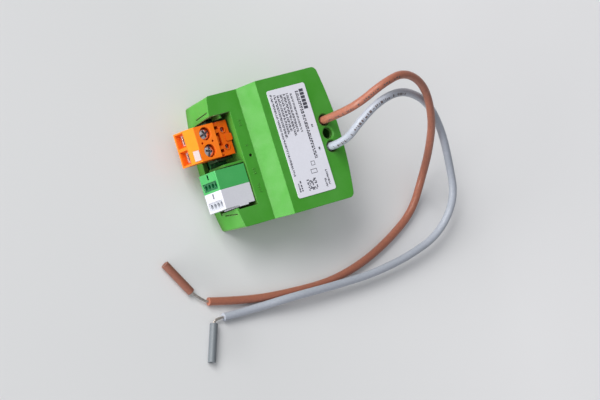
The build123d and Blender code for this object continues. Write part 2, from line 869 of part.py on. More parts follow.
def make_end_sleeve(bend, end):
    """Cut-off length of insulation, still on the conductor."""
    axis = (Vector(bend) - Vector(end)).normalized()
    plane = Plane(origin=end, z_dir=axis)
    bore = conductor_diameter / 2 + running_gap
    ring = Circle(lead_diameter / 2) - Circle(bore)
    return extrude(plane * ring, amount=end_sleeve_length)


def make_chip(shares, length, width, height, legs_per_side, turn=0):
    """Moulded package with gull-wing legs along its two long sides."""
    x, y = board_point(shares)
    body = block(around(0, length), around(0, width), (board_top + leg_thickness, board_top + height))
    pitch = length / max(legs_per_side, 1)
    for index in range(legs_per_side):
        along = (index - (legs_per_side - 1) / 2) * pitch
        xs = around(along, leg_width)
        for side in (1, -1):
            y_in = side * (width / 2 - leg_reach / 2)
            y_out = side * (width / 2 + leg_reach)
            y_knee = side * (width / 2 + leg_reach / 2)
            zs_high = (board_top + leg_height, board_top + leg_height + leg_thickness)
            body += block(xs, sorted((y_in, y_knee)), zs_high)
            y_bend = y_knee - side * leg_thickness
            body += block(xs, sorted((y_bend, y_knee)), (board_top, zs_high[1]))
            body += block(xs, sorted((y_bend, y_out)), (board_top, board_top + leg_thickness))
    return Pos(x, y, 0) * Rot(0, 0, turn) * body


def make_quad_chip(shares, size, height, legs_per_side):
    """Square package with legs on all four sides."""
    x, y = board_point(shares)
    chip = make_chip((0, 0), size, size, height, legs_per_side)
    return Pos(x, y, 0) * (chip + Rot(0, 0, 90) * chip)


def make_brick(shares, length, width, height):
    """Two-terminal part: end caps and a body that stands a little lower and narrower."""
    x, y = board_point(shares)
    brick = block(around(0, length), around(0, width), (board_top, board_top + height))
    waist_zs = (board_top, board_top + height * brick_waist_share)
    waist = block(around(0, length), around(0, width * brick_waist_share), waist_zs)
    middle_length = length * (1 - 2 * brick_cap_share)
    middle = block(around(0, middle_length), around(0, 2 * width), (board_top, board_top + 2 * height))
    return Pos(x, y, 0) * (brick - ((brick - waist) & middle))


def make_bricks(places, length, width, height):
    return Compound(children=[make_brick(shares, length, width, height) for shares in places])


def make_can(shares, diameter, height):
    """Standing electrolytic capacitor: grooved sleeve, rubber foot and scored top."""
    x, y = board_point(shares)
    can = post(0, 0, board_top + can_bung / 2, board_top + height, diameter)
    can = fillet(can.edges().group_by(Axis.Z)[-1], can_groove)
    ring = Torus(diameter / 2 + can_groove / 4, can_groove)
    can -= Pos(0, 0, board_top + can_groove_height) * ring
    can += post(0, 0, board_top, board_top + can_bung, diameter - 2 * can_groove)
    top = board_top + height
    score_zs = (top - can_cross_depth, top + overrun)
    for angle in (0, 90):
        score = block(around(0, diameter / 2), around(0, can_cross_width), score_zs)
        can -= Rot(0, 0, angle) * score
    return Pos(x, y, 0) * can


def make_choke(shares, size, height):
    """Drum choke: square ferrite flanges with the winding between them."""
    x, y = board_point(shares)
    flange = height / 4
    foot = block(around(0, size), around(0, size), (board_top, board_top + flange))
    foot = chamfer(foot.edges().filter_by(Axis.Z), size * choke_corner_share)
    cap = Pos(0, 0, height - flange) * foot
    turns_diameter = size * choke_turns_share
    turns = post(0, 0, board_top + flange / 2, board_top + height - flange / 2, turns_diameter)
    return Pos(x, y, 0) * (foot + cap + turns)


def board_parts():
    legs = small_chip_legs
    return {
        "input_fuse": make_brick(fuse_place_shares, *fuse_size),
        "surge_diode": make_chip(surge_place_shares, *surge_size, 1),
        "converter_chip": make_chip(converter_place_shares, *small_chip_size, legs),
        "controller_chip": make_quad_chip(controller_place_shares, *controller_size, controller_legs),
        "bus_transceiver": make_chip(transceiver_place_shares, *small_chip_size, legs, 90),
        "crystal": make_brick(crystal_place_shares, *crystal_size),
        "bridge_driver": make_brick(driver_place_shares, *driver_size),
        "bulk_capacitor": make_can(bulk_place_shares, *bulk_size),
        "second_capacitor": make_can(second_place_shares, *second_size),
        "storage_choke": make_choke(choke_place_shares, *choke_size),
        "current_shunt": make_brick(shunt_place_shares, *shunt_size),
        "bridge_transistors": make_bricks(transistor_place_shares, *transistor_size),
        "chip_capacitors": make_bricks(capacitor_place_shares, *capacitor_size),
        "chip_resistors": make_bricks(resistor_place_shares, *resistor_size),
    }


def all_parts():
    parts = {
        "top_cover": make_top_cover(),
        "base_tray": make_base_tray(),
        "main_board": make_main_board(),
        "rating_label": make_label(),
        "light_pipe": make_light_pipe(),
        "status_led": make_status_led(),
        "power_header": make_power_header(),
        "power_pins": make_power_pins(),
        "bus_header": make_bus_header(),
        "bus_pins": make_bus_pins(),
        "plug_body": make_plug_body(),
        "plug_marker": make_plug_marker(),
        "bus_plug_green": make_bus_half(bus_poles["green"]),
        "bus_plug_white": make_bus_white_half(),
        "bus_spring_green": make_bus_spring(bus_poles["green"]),
        "bus_spring_white": make_bus_spring(bus_poles["white"]),
        "brown_lead_tail": make_lead_tail(1),
        "grey_lead_tail": make_lead_tail(-1),
        "lead_solder_joints": make_solder_joints(),
        "brown_lead": make_lead(brown_route),
        "grey_lead": make_lead(grey_route),
        "brown_conductor": make_conductor(brown_route[-1], brown_bends, brown_end),
        "grey_conductor": make_conductor(grey_route[-1], grey_bends, grey_end),
        "brown_end_sleeve": make_end_sleeve(brown_bends[-1], brown_end),
        "grey_end_sleeve": make_end_sleeve(grey_bends[-1], grey_end),
    }
    for number, (y, slot_angle) in enumerate(zip(plug_poles, screw_slot_angles), start=1):
        parts[f"contact_bar_{number}"] = make_contact_bar(y)
        parts[f"terminal_screw_{number}"] = make_terminal_screw(y, slot_angle)
        parts[f"clamp_cage_{number}"] = make_clamp_cage(y)
    parts.update(board_parts())
    return parts


def report_lead(name, route, solid):
    """Print the arcs of a lead, and its volume against its section times its length."""
    radii = arc_radii(route)
    length = FilletPolyline(*route, radius=radii).length
    section = math.pi * lead_diameter**2 / 4
    listed = ", ".join(f"{radius:.1f}" for radius in radii)
    print(f"{name}: length {length:.1f}, volume {solid.volume:.1f} against {section * length:.1f}")
    print(f"{name}: arc radii {listed}")


def main():
    os.makedirs("parts", exist_ok=True)
    parts = all_parts()
    for name, solid in parts.items():
        export_step(solid, f"parts/{name}.step")
    report_lead("brown_lead", brown_route, parts["brown_lead"])
    report_lead("grey_lead", grey_route, parts["grey_lead"])


main()
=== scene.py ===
"""Looks of the motor controller: green stepped housing, orange screw plug, bus plug and two leads.

Metres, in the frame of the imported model: +Z up, +X towards the lead holes, floor at zero.
"""
import json
import math
import random

import bmesh
import bpy
from mathutils import Matrix, Vector


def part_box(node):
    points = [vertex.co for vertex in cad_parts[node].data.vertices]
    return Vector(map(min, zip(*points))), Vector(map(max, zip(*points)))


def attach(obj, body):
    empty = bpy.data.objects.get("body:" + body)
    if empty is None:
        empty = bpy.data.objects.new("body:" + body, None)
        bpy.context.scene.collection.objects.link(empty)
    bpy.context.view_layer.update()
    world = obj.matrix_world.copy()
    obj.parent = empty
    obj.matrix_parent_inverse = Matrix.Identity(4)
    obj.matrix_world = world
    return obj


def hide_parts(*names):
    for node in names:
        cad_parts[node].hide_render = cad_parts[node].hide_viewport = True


MM = 0.001

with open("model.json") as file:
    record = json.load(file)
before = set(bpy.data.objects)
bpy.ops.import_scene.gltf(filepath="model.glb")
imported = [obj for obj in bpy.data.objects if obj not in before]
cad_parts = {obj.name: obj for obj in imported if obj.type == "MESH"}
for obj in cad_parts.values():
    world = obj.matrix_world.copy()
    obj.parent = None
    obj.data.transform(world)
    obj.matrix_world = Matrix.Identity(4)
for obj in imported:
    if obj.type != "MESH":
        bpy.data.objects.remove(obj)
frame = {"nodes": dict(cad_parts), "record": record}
nodes = frame["nodes"]
slots = {entry["node"]: entry["material_slot"] for entry in frame["record"]["subparts"]}
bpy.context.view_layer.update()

# Camera, as fitted to the photograph
camera_place = (-0.43925, -0.03838, 0.67051)
camera_right = (0.797328, -0.293701, 0.527264)
camera_up = (0.228892, 0.955496, 0.186109)
camera_back = (-0.558459, -0.027704, 0.829069)
camera_lens = 162.87
camera_sensor = 36.0

# Leads: diameter, length and route of each, the route as control points
lead_diameter = 2.4 * MM
lead_routes = {
    "brown": [
        (0.0157, 0.0040, 0.0195),
        (0.0157, 0.0040, 0.0280),
        (0.0177, 0.0050, 0.0362),
        (0.0242, 0.0084, 0.0410),
        (0.0335, 0.0102, 0.0402),
        (0.0430, 0.0055, 0.0350),
        (0.0495, -0.0040, 0.0255),
        (0.0530, -0.0125, 0.0145),
        (0.0545, -0.0200, 0.0045),
        (0.0500, -0.0285, 0.0012),
        (0.0405, -0.0340, 0.0012),
        (0.0275, -0.0392, 0.0012),
        (0.0135, -0.0419, 0.0012),
        (-0.0015, -0.0414, 0.0012),
        (-0.0160, -0.0400, 0.0012),
        (-0.0293, -0.0369, 0.0012),
    ],
    "grey": [
        (0.0157, -0.0040, 0.0195),
        (0.0157, -0.0040, 0.0270),
        (0.0166, -0.0006, 0.0342),
        (0.0215, 0.0034, 0.0386),
        (0.0295, 0.0052, 0.0380),
        (0.0395, 0.0046, 0.0318),
        (0.0495, 0.0006, 0.0255),
        (0.0570, -0.0080, 0.0180),
        (0.0610, -0.0180, 0.0115),
        (0.0625, -0.0290, 0.0070),
        (0.0545, -0.0380, 0.0042),
        (0.0415, -0.0416, 0.0036),
        (0.0270, -0.0434, 0.0035),
        (0.0120, -0.0433, 0.0035),
        (-0.0030, -0.0428, 0.0035),
        (-0.0155, -0.0428, 0.0016),
        (-0.0259, -0.0425, 0.0012),
    ],
}

# Bare conductors, from the cut insulation round two bends and into the loose sleeve
conductor_routes = {
    "brown": [
        (-0.0293, -0.0369, 0.0012),
        (-0.0302, -0.0367, 0.0012),
        (-0.03358, -0.03344, 0.0012),
        (-0.03419, -0.03240, 0.0012),
        (-0.03940, -0.02352, 0.0012),
    ],
    "grey": [
        (-0.0259, -0.0425, 0.0012),
        (-0.0282, -0.04245, 0.0012),
        (-0.02945, -0.04298, 0.0012),
        (-0.02992, -0.04408, 0.0012),
        (-0.03396, -0.05345, 0.0012),
    ],
}
strand_diameter = 0.27 * MM
strand_lay = 7 * MM
strand_centre_share = 0.98
outer_strands = 6
strand_sides = 8
# Fineness of the leads' curves, along and round
route_steps = 16
lead_round_steps = 7
# Angles in degrees from which an edge shows as sharp
strand_crease = 50
print_crease = 50
screw_crease = 32
deck_mark_crease = 40


def add_camera():
    data = bpy.data.cameras.new("camera")
    data.sensor_fit = "HORIZONTAL"
    data.sensor_width = camera_sensor
    data.lens = camera_lens
    camera = bpy.data.objects.new("camera", data)
    bpy.context.scene.collection.objects.link(camera)
    turn = Matrix((camera_right, camera_up, camera_back)).transposed().to_4x4()
    camera.matrix_world = Matrix.Translation(camera_place) @ turn
    bpy.context.scene.camera = camera


# Ranges that masks are spread over: wide and usual noise, worn edges (dot of rounded and true normal)
# and the painted shade in each crevice (open share of what a point sees)
wide_range = (0.3, 0.7)
blotch_range = (0.35, 0.65)
edge_range = (0.995, 0.82)
crevice_shade_range = (0.85, 0.3)
mask_samples = 6


class Material:
    """Node material with short calls for the textures that every finish shares."""

    def __init__(self, name, roughness=0.5, metallic=0.0, specular=0.5, **inputs):
        self.data = bpy.data.materials.new(name)
        self.data.use_nodes = True
        self.tree = self.data.node_tree
        self.shader = self.tree.nodes["Principled BSDF"]
        self.shader.inputs["Roughness"].default_value = roughness
        self.shader.inputs["Metallic"].default_value = metallic
        self.shader.inputs["Specular IOR Level"].default_value = specular
        for socket, value in inputs.items():
            self.shader.inputs[socket.replace("_", " ")].default_value = value
        self.place = self.tree.nodes.new("ShaderNodeTexCoord").outputs["Object"]

    def node(self, kind, **settings):
        made = self.tree.nodes.new(kind)
        for key, value in settings.items():
            setattr(made, key, value)
        return made

    def link(self, source, target):
        """Join a socket, or set a plain value."""
        if hasattr(source, "links"):
            self.tree.links.new(source, target)
        else:
            target.default_value = source

    def noise(self, scale, detail=3.0, roughness=0.55):
        """Noise in object space, scale in grains a metre."""
        made = self.node("ShaderNodeTexNoise")
        made.inputs["Scale"].default_value = scale
        made.inputs["Detail"].default_value = detail
        made.inputs["Roughness"].default_value = roughness
        self.link(self.place, made.inputs["Vector"])
        return made.outputs["Fac"]

    def spread(self, source, low, high, low_out=0.0, high_out=1.0):
        """Map a range of the source to a range of results, with both ends held."""
        made = self.node("ShaderNodeMapRange")
        ends = {"From Min": low, "From Max": high, "To Min": low_out, "To Max": high_out}
        for socket, value in ends.items():
            made.inputs[socket].default_value = value
        self.link(source, made.inputs["Value"])
        return made.outputs["Result"]

    def blotches(self, scale, detail=4):
        """Mask of soft blotches, scale in grains a metre."""
        return self.spread(self.noise(scale, detail), *blotch_range)

    def uneven_gloss(self, scale, low, high, detail=4):
        """Roughness that wanders between two values."""
        self.set("Roughness", self.spread(self.noise(scale, detail), *wide_range, low, high))

    def mix(self, factor, first, second):
        """Colour mix; each colour is a socket or four numbers."""
        made = self.node("ShaderNodeMix", data_type="RGBA")
        for index, value in ((0, factor), (6, first), (7, second)):
            self.link(value, made.inputs[index])
        return made.outputs[2]

    def maths(self, operation, first, second):
        made = self.node("ShaderNodeMath", operation=operation)
        self.link(first, made.inputs[0])
        self.link(second, made.inputs[1])
        return made.outputs[0]

    def weaker(self, mask, share):
        """The mask at a share of its strength."""
        return self.maths("MULTIPLY", mask, share)

    def edges(self, radius):
        """Mask of the worn edges, where a rounded normal leaves the true one, and that normal."""
        bevel = self.node("ShaderNodeBevel", samples=mask_samples)
        bevel.inputs["Radius"].default_value = radius
        true_normal = self.node("ShaderNodeNewGeometry").outputs["Normal"]
        dot = self.node("ShaderNodeVectorMath", operation="DOT_PRODUCT")
        self.link(bevel.outputs["Normal"], dot.inputs[0])
        self.link(true_normal, dot.inputs[1])
        return self.spread(dot.outputs["Value"], *edge_range), bevel.outputs["Normal"]

    def crevice_shade_mask(self, reach):
        """Mask of painted shade: the places that lie shut in by walls nearer than the reach."""
        made = self.node("ShaderNodeAmbientOcclusion", samples=mask_samples)
        made.inputs["Distance"].default_value = reach
        return self.spread(made.outputs["AO"], *crevice_shade_range)

    def axes(self):
        """Object-space x, y and z."""
        made = self.node("ShaderNodeSeparateXYZ")
        self.link(self.place, made.inputs[0])
        return made.outputs

    def inside(self, low, high):
        """One inside a box of two corners and nought outside it."""
        mask = 1.0
        for axis, start, stop in zip(self.axes(), low, high):
            above = self.maths("GREATER_THAN", axis, start)
            below = self.maths("LESS_THAN", axis, stop)
            mask = self.maths("MULTIPLY", mask, self.maths("MULTIPLY", above, below))
        return mask

    def bump(self, height, distance, strength=1.0, normal=None):
        made = self.node("ShaderNodeBump")
        made.inputs["Strength"].default_value = strength
        made.inputs["Distance"].default_value = distance
        self.link(height, made.inputs["Height"])
        if normal is not None:
            self.link(normal, made.inputs["Normal"])
        self.link(made.outputs["Normal"], self.shader.inputs["Normal"])

    def set(self, socket, source):
        self.link(source, self.shader.inputs[socket])


def lighter(colour, amount):
    """The colour moved towards white."""
    return tuple(c + (1 - c) * amount for c in colour[:3]) + (1.0,)


def darker(colour, amount):
    """The colour moved towards black."""
    return tuple(c * (1 - amount) for c in colour[:3]) + (1.0,)


# Plastics: grains a metre of the flow clouds, specks, rubbed patches, gloss and spark grain
cloud_scale = 120
speck_scale = 2600
rubbed_scale = 700
gloss_scale = 260
spark_scale = 5000
# Depth of the spark grain, and how far apart the walls of a crevice may stand for it to take painted shade
plastic_grain = 0.012 * MM
crevice_shade_reach = 5.0 * MM
# How strongly each tone shows, and how far it leaves the plastic's own colour
cloud_dark = 0.07
cloud_light = 0.02
speck_share = 0.14
speck_dark = 0.3
panel_dark = 0.15
# Strength of the painted shade in a crevice
crevice_shade_share = 0.85
rubbed_light = 0.3
gloss_below = 0.06
gloss_above = 0.07


def plastic(name, colour, roughness=0.45, edge=0.25 * MM, wear=0.25, panels=(), painted_crevice_shade=None, **inputs):
    """Moulded plastic: faint flow clouds, fine spark grain, rubbed paler edges and uneven gloss.

    Each panel is a box of low and high corners, with the colour inside it. A painted shade colour darkens
    each crevice.
    """
    made = Material(name, roughness=roughness, **inputs)
    clouds = made.spread(made.noise(cloud_scale, 4), *wide_range)
    specks = made.spread(made.noise(speck_scale, 2), 0.35, 0.7)
    base = made.mix(clouds, darker(colour, cloud_dark), lighter(colour, cloud_light))
    base = made.mix(made.weaker(specks, speck_share), base, darker(colour, speck_dark))
    for low, high, inner in panels:
        base = made.mix(made.inside(low, high), base, made.mix(clouds, inner, darker(inner, panel_dark)))
    # Painted shade: each crevice darkens towards the shade colour
    if painted_crevice_shade:
        base = made.mix(made.weaker(made.crevice_shade_mask(crevice_shade_reach), crevice_shade_share), base, painted_crevice_shade)
    rubbed, rounded = made.edges(edge)
    patches = made.spread(made.noise(rubbed_scale, 4), 0.42, 0.6)
    wear_mask = made.weaker(made.maths("MULTIPLY", rubbed, patches), wear)
    made.set("Base Color", made.mix(wear_mask, base, lighter(colour, rubbed_light)))
    made.uneven_gloss(gloss_scale, roughness - gloss_below, roughness + gloss_above, detail=5)
    made.bump(made.noise(spark_scale, 2), distance=plastic_grain, strength=0.6, normal=rounded)
    return made.data


def metal(name, colour, roughness=0.25):
    """Plated metal: a fine grain, dull patches and faint stains."""
    made = Material(name, roughness=roughness, metallic=1.0)
    stains = made.blotches(scale=500)
    made.set("Base Color", made.mix(stains, darker(colour, 0.12), lighter(colour, 0.06)))
    made.uneven_gloss(scale=900, low=roughness - 0.06, high=roughness + 0.08)
    rounded = made.edges(radius=0.08 * MM)[1]
    made.bump(made.noise(3200), distance=0.003 * MM, strength=0.35, normal=rounded)
    return made.data


# Turning marks on the screw heads: radians of the wave a metre
turning_wave = 90.0 / MM


def screw_metal(name, centre):
    """Bright plated steel with rings from turning."""
    made = Material(name, roughness=0.24, metallic=1.0)
    steel = (0.80, 0.80, 0.84, 1.0)
    made.set("Base Color", made.mix(made.blotches(scale=800), darker(steel, 0.14), steel))
    made.uneven_gloss(scale=1500, low=0.2, high=0.36)
    x, y, _ = made.axes()
    across = made.maths("SUBTRACT", x, centre.x)
    along = made.maths("SUBTRACT", y, centre.y)
    squares = made.maths("ADD", made.maths("MULTIPLY", across, across), made.maths("MULTIPLY", along, along))
    radius = made.maths("SQRT", squares, 0.0)
    rings = made.maths("SINE", made.maths("MULTIPLY", radius, turning_wave), 0.0)
    rounded = made.edges(radius=0.05 * MM)[1]
    made.bump(rings, distance=0.003 * MM, strength=0.25, normal=rounded)
    return made.data


def slot_painted_shade():
    """Painted shade on the walls and floors of the screw slots, as a dull dark metal."""
    made = Material("slot_painted_shade", roughness=0.5, metallic=0.6)
    dark = (0.10, 0.10, 0.12, 1.0)
    paler_shade = (0.2, 0.2, 0.23, 1.0)
    made.set("Base Color", made.mix(made.blotches(scale=2400), dark, paler_shade))
    made.uneven_gloss(scale=1800, low=0.42, high=0.6, detail=3)
    made.bump(made.noise(3000), distance=0.006 * MM, strength=0.4)
    return made.data


def insulation(name, colour, dark):
    """Soft smooth insulation: slow tone changes along it, handling marks and a slight orange peel."""
    made = Material(name, roughness=0.4, specular=0.5, Sheen_Weight=0.05)
    slow = made.blotches(scale=70, detail=3)
    fine = made.spread(made.noise(1300, 4), 0.38, 0.66)
    base = made.mix(slow, colour, darker(colour, 0.1))
    base = made.mix(made.weaker(fine, share=0.3), base, dark)
    marks = made.spread(made.noise(420, detail=6, roughness=0.7), 0.6, 0.72)
    made.set("Base Color", made.mix(made.weaker(marks, share=0.18), base, lighter(colour, 0.25)))
    made.uneven_gloss(scale=520, low=0.32, high=0.5)
    made.bump(made.noise(1500), distance=0.02 * MM, strength=0.5)
    return made.data


def label_film():
    """White film with faint fibres."""
    made = Material("label_film", roughness=0.38)
    white = (0.74, 0.75, 0.84, 1.0)
    fibres = made.blotches(scale=1500, detail=5)
    made.set("Base Color", made.mix(made.weaker(fibres, share=0.5), white, darker(white, 0.06)))
    made.uneven_gloss(scale=500, low=0.32, high=0.5)
    rounded = made.edges(radius=0.06 * MM)[1]
    made.bump(made.noise(900), distance=0.01 * MM, strength=0.4, normal=rounded)
    return made.data


def print_ink(name, ink, faded):
    """Ink that breaks up a little over the surface's grain."""
    made = Material(name, roughness=0.5, specular=0.4)
    made.set("Base Color", made.mix(made.blotches(scale=5200, detail=3), ink, faded))
    made.uneven_gloss(scale=1800, low=0.42, high=0.58, detail=3)
    made.bump(made.noise(2500, 2), distance=0.004 * MM, strength=0.4)
    return made.data


def clear_plastic():
    """Green-tinted light pipe with a slight haze."""
    made = Material("clear_plastic", roughness=0.12, Transmission_Weight=0.85, IOR=1.49)
    clear = (0.25, 0.42, 0.25, 1.0)
    hazy = (0.18, 0.32, 0.18, 1.0)
    made.set("Base Color", made.mix(made.blotches(scale=600), clear, hazy))
    made.uneven_gloss(scale=900, low=0.08, high=0.2, detail=3)
    made.bump(made.noise(1800, 2), distance=0.01 * MM, strength=0.3)
    return made.data


def board_mask():
    """Green solder mask with faint copper tracks under it."""
    made = Material("board_mask", roughness=0.3)
    tracks = made.node("ShaderNodeTexVoronoi", feature="DISTANCE_TO_EDGE")
    tracks.inputs["Scale"].default_value = 420
    made.link(made.place, tracks.inputs["Vector"])
    lines = made.spread(tracks.outputs["Distance"], 0.02, 0.06)
    over_copper = (0.05, 0.22, 0.07, 1.0)
    over_board = (0.02, 0.12, 0.04, 1.0)
    made.set("Base Color", made.mix(lines, over_copper, over_board))
    made.uneven_gloss(scale=800, low=0.24, high=0.42, detail=3)
    made.bump(lines, distance=0.02 * MM, strength=0.4)
    return made.data


def tinned_copper():
    """Fine strands of tinned copper, with the copper showing here and there."""
    made = Material("tinned_copper", roughness=0.35, metallic=1.0)
    bright_tin = (0.66, 0.62, 0.58, 1.0)
    dull_tin = (0.45, 0.42, 0.40, 1.0)
    copper = (0.62, 0.38, 0.26, 1.0)
    tin = made.mix(made.blotches(scale=1400), bright_tin, dull_tin)
    worn = made.spread(made.noise(900, 4), 0.6, 0.7, high_out=0.7)
    made.set("Base Color", made.mix(worn, tin, copper))
    made.uneven_gloss(scale=3000, low=0.28, high=0.5, detail=3)
    made.bump(made.noise(4200, 2), distance=0.01 * MM, strength=0.4)
    return made.data


# Bus plug's front: offsets of the wire entries and the test mouth from the pole, and the sizes of the
# panel, the entries' depth of painted shade and the mouth
bus_entry_offset = -1.03 * MM
bus_mouth_offset = 1.7 * MM
bus_panel_depth = 0.35 * MM
bus_panel_width = 2.5 * MM
bus_panel_margin = 0.7 * MM
bus_hole_depth = 4.0 * MM
bus_mouth_width = 1.5 * MM
bus_mouth_height = 0.8 * MM
bus_mouth_depth = 1.2 * MM
# Box of the test mouth's painted shade, from just behind the face and a little larger than the mouth
mouth_box_start = 0.1 * MM
mouth_box_end = 1.1 * bus_mouth_depth
mouth_box_side = 0.52 * bus_mouth_width
mouth_box_rise = 0.55 * bus_mouth_height


def bus_painted_shade_boxes(node, panel_shade_colour, mouth_shade_colour):
    """Boxes of a bus plug half that take painted shade: its sunk panel round the wire entries, and its test
    mouth.
    """
    low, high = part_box(node)
    middle = (low + high) / 2
    entry_y = middle.y + bus_entry_offset
    panel_low = (low.x + bus_panel_depth / 2, entry_y - bus_panel_width / 2, low.z + bus_panel_margin)
    panel_high = (low.x + bus_hole_depth, entry_y + bus_panel_width / 2, high.z - bus_panel_margin)
    mouth_y = middle.y + bus_mouth_offset
    mouth_low = (low.x + mouth_box_start, mouth_y - mouth_box_side, middle.z - mouth_box_rise)
    mouth_high = (low.x + mouth_box_end, mouth_y + mouth_box_side, middle.z + mouth_box_rise)
    return (panel_low, panel_high, panel_shade_colour), (mouth_low, mouth_high, mouth_shade_colour)


# Orange plug: its bevel, yellower as painted light, and its darker mating section behind the step
plug_step_setback = 8.95 * MM
bevel_run = 2.1 * MM
bevel_drop = 2.7 * MM
mate_drop = 1.0 * MM
mate_box_lift = 0.5 * MM
# How far a colour's box keeps off the next surface, and reaches past the plug
box_clearance = 0.1 * MM
box_overhang = 1.0 * MM


def plug_panels_of(node, bevel_light_colour, mate_colour):
    """Boxes of the orange plug that take colours of their own: painted light on the bevel, and the darker
    mating section.
    """
    low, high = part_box(node)
    bevel_low = (low.x - box_overhang, low.y - box_overhang, high.z - bevel_drop)
    bevel_high = (low.x + bevel_run, high.y + box_overhang, high.z - box_clearance)
    mate_low = (low.x + plug_step_setback + box_clearance, low.y - box_overhang, low.z)
    mate_high = (high.x + box_overhang, high.y + box_overhang, high.z - mate_drop + mate_box_lift)
    return (bevel_low, bevel_high, bevel_light_colour), (mate_low, mate_high, mate_colour)


# The bevel's yellower colour is painted light
plug_panels = plug_panels_of("plug_body", (0.98, 0.25, 0.004, 1.0), (0.88, 0.15, 0.004, 1.0))
# Painted shade: the bus plugs' sunk panels and test mouths are darker inside
green_painted_shade = bus_painted_shade_boxes("bus_plug_green", (0.006, 0.14, 0.045, 1.0), (0.003, 0.07, 0.02, 1.0))
white_painted_shade = bus_painted_shade_boxes("bus_plug_white", (0.48, 0.50, 0.56, 1.0), (0.4, 0.42, 0.46, 1.0))

# The shade colours given to the plastics below are painted shade for each crevice
materials = {
    "housing_green": plastic(
        "housing_green",
        (0.046, 0.298, 0.018, 1.0),
        0.45,
        specular=0.3,
        Sheen_Weight=0.4,
        Sheen_Roughness=0.4,
        Sheen_Tint=(0.75, 1.0, 0.5, 1.0),
        painted_crevice_shade=(0.03, 0.075, 0.006, 1.0),
    ),
    "tray_green": plastic("tray_green", (0.04, 0.27, 0.015, 1.0), 0.45, painted_crevice_shade=(0.03, 0.075, 0.006, 1.0)),
    "label_white": label_film(),
    "plug_orange": plastic(
        "plug_orange",
        (0.97, 0.2, 0.003, 1.0),
        0.45,
        edge=0.15 * MM,
        wear=0.2,
        specular=0.14,
        panels=plug_panels,
        painted_crevice_shade=(0.6, 0.05, 0.001, 1.0),
    ),
    "marker_white": plastic("marker_white", (0.48, 0.38, 0.38, 1.0), 0.4, edge=0.08 * MM),
    "bus_green": plastic("bus_green", (0.042, 0.38, 0.09, 1.0), 0.4, edge=0.15 * MM, panels=green_painted_shade),
    "bus_white": plastic("bus_white", (0.63, 0.63, 0.71, 1.0), 0.4, edge=0.15 * MM, panels=white_painted_shade),
    "header_black": plastic("header_black", (0.015, 0.05, 0.012, 1.0), 0.4, edge=0.1 * MM),
    "screw_steel": metal("screw_steel", (0.78, 0.78, 0.82, 1.0), 0.22),
    "cage_steel": metal("cage_steel", (0.92, 0.92, 0.92, 1.0), 0.45),
    "contact_tin": metal("contact_tin", (0.88, 0.88, 0.86, 1.0), 0.5),
    "pin_tin": metal("pin_tin", (0.74, 0.73, 0.7, 1.0), 0.24),
    "lead_brown": insulation("lead_brown", (0.37, 0.128, 0.078, 1.0), (0.18, 0.06, 0.038, 1.0)),
    "lead_grey": insulation("lead_grey", (0.40, 0.43, 0.50, 1.0), (0.26, 0.29, 0.36, 1.0)),
    "conductor_copper": tinned_copper(),
    "solder": metal("solder", (0.7, 0.71, 0.74, 1.0), 0.2),
    "board_green": board_mask(),
    "chip_black": plastic("chip_black", (0.02, 0.02, 0.022, 1.0), 0.5, edge=0.06 * MM),
    "capacitor_can": metal("capacitor_can", (0.62, 0.63, 0.66, 1.0), 0.3),
    "ferrite": plastic("ferrite", (0.06, 0.06, 0.065, 1.0), 0.6, edge=0.1 * MM),
    "ceramic": plastic("ceramic", (0.5, 0.36, 0.2, 1.0), 0.45, edge=0.06 * MM),
    "clear_plastic": clear_plastic(),
}
# Loose end sleeves: darker copies of their leads' insulation, as painted shade
sleeve_shaded_copies = {
    "brown": insulation("brown_sleeve_shaded", (0.23, 0.085, 0.055, 1.0), (0.12, 0.045, 0.03, 1.0)),
    "grey": insulation("grey_sleeve_shaded", (0.15, 0.17, 0.19, 1.0), (0.10, 0.115, 0.135, 1.0)),
}
# Painted shade for the screw slots' walls and floors
slot_shade_finish = slot_painted_shade()
label_ink = print_ink("label_ink", (0.03, 0.03, 0.045, 1.0), (0.10, 0.10, 0.13, 1.0))
lead_ink = print_ink("lead_ink", (0.06, 0.04, 0.04, 1.0), (0.14, 0.11, 0.11, 1.0))


def dress_cad_nodes():
    """Every carried-over node gets the finish of its own slot."""
    for name, slot in slots.items():
        mesh = nodes[name].data
        mesh.materials.clear()
        mesh.materials.append(materials[slot])


def new_piece(name, body, material, replaced=None):
    """Empty mesh object that rides on a body, and stands for a node if one is named."""
    mesh = bpy.data.meshes.new(name)
    mesh.materials.append(material)
    piece = bpy.data.objects.new(name, mesh)
    bpy.context.scene.collection.objects.link(piece)
    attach(piece, body)
    if replaced:
        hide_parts(replaced)
    return piece


def fill(piece, work, crease=None):
    """Hand the built mesh to its piece, smooth up to the crease angle where one is given."""
    bmesh.ops.recalc_face_normals(work, faces=work.faces)
    work.to_mesh(piece.data)
    work.free()
    if crease:
        smooth_up_to(piece.data, crease)


def smooth_up_to(mesh, crease):
    for polygon in mesh.polygons:
        polygon.use_smooth = True
    mesh.set_sharp_from_angle(angle=math.radians(crease))


def add_block(work, low, high):
    """Box between two corners."""
    made = bmesh.ops.create_cube(work, size=1.0)
    scale = Matrix.Diagonal((*(high - low), 1.0))
    bmesh.ops.transform(work, matrix=Matrix.Translation((low + high) / 2) @ scale, verts=made["verts"])


# Rounding of the moulded pieces: edges under this turn stay as they are, and inner corners are rounded less
round_from_angle = 28
inner_round_share = 0.2
round_profile = 0.5
# Clean-up before it: points this close are joined, and faces within this angle become one
join_distance = 0.002 * MM
flat_angle = 0.6
# How much a large face counts against its small neighbours in the shading
large_face_weight = 80
# Moulded pieces: the body that each rides on, and the width of its rounded edges
moulded = {
    "top_cover": ("housing", 0.22 * MM),
    "plug_body": ("power_plug", 0.12 * MM),
    "bus_plug_green": ("bus_plug", 0.1 * MM),
    "bus_plug_white": ("bus_plug", 0.1 * MM),
}
sleeve_rounding = 0.12 * MM


